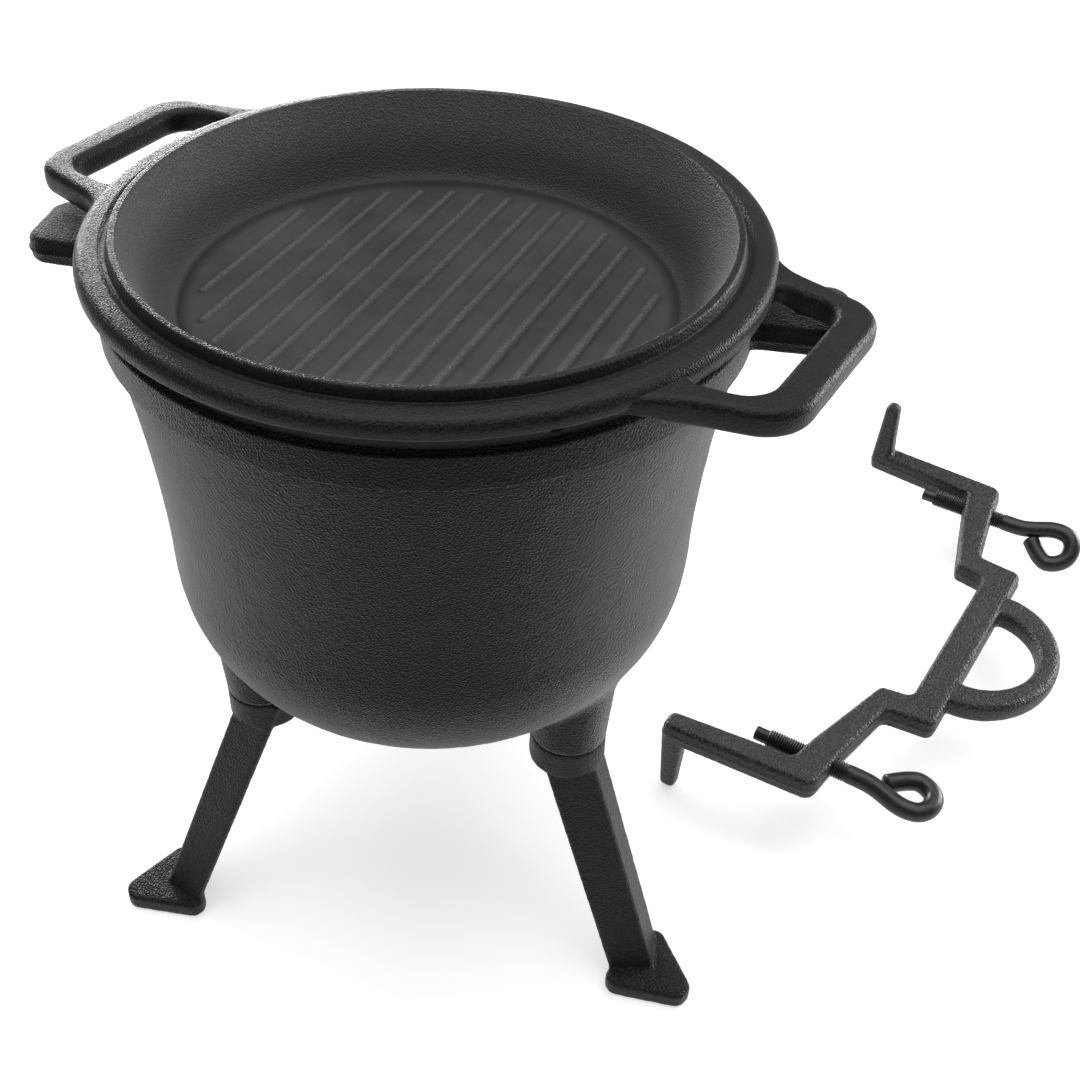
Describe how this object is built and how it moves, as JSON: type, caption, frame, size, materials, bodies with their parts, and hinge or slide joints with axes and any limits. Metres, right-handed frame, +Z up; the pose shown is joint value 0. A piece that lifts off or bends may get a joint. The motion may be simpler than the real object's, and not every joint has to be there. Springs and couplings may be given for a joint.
{
  "type": "campfire kettle",
  "caption": "Cast-iron campfire kettle on bolted angle legs, with a ribbed grill-pan lid with loop handles and a loose hanging clamp with eye screws.",
  "frame": {"origin": "on the ground under the pot's axis", "axes": "+Z up along the pot's axis, +X through the right lid handle, +Y along the clamp's beam and away from the front"},
  "size_m": [0.4631, 0.5882, 0.3955],
  "materials": {
    "cast_pot": "rough seasoned casting",
    "cast_lid": "rough seasoned casting",
    "cast_leg": "rough painted casting",
    "cast_clamp": "rough painted casting",
    "black_steel": "blackened"
  },
  "bodies": {
    "pot": {"pot_body": "cast_pot", "leg_right": "cast_leg", "leg_back": "cast_leg", "leg_left": "cast_leg", "leg_bolt_right": "black_steel", "leg_bolt_back": "black_steel", "leg_bolt_left": "black_steel", "leg_washer_right": "black_steel", "leg_washer_back": "black_steel", "leg_washer_left": "black_steel"},
    "lid": {"lid_grill_pan": "cast_lid"},
    "clamp": {"clamp_bracket": "cast_clamp"},
    "near_point": {"screw_point_near": "black_steel"},
    "near_screw": {"eye_screw_near": "black_steel"},
    "far_point": {"screw_point_far": "black_steel"},
    "far_screw": {"eye_screw_far": "black_steel"}
  },
  "joints": [
    {"name": "lid_lift", "type": "slide", "parent": "pot", "child": "lid", "axis": [0, 0, 1], "range_m": [0, 0.15]},
    {"name": "clamp_lift", "type": "slide", "parent": "pot", "child": "clamp", "axis": [0, 0, 1], "range_m": [0, 0.25]},
    {"name": "near_screw_travel", "type": "slide", "parent": "clamp", "child": "near_point", "axis": [1, 0, 0], "range_m": [-0.0061, 0.0201]},
    {"name": "near_screw_turn", "type": "hinge", "parent": "near_point", "child": "near_screw", "pos_m": [0.234, 0.13, 0.048], "axis": [1, 0, 0], "range_deg": [-1440, 4800]},
    {"name": "far_screw_travel", "type": "slide", "parent": "clamp", "child": "far_point", "axis": [1, 0, 0], "range_m": [-0.0061, 0.0201]},
    {"name": "far_screw_turn", "type": "hinge", "parent": "far_point", "child": "far_screw", "pos_m": [0.234, 0.41, 0.048], "axis": [1, 0, 0], "range_deg": [-1440, 4800]}
  ],
  "couplings": [
    {"joint": "near_screw_travel", "follows": "near_screw_turn", "m_per_rad": 0.00023873},
    {"joint": "far_screw_travel", "follows": "far_screw_turn", "m_per_rad": 0.00023873}
  ]
}
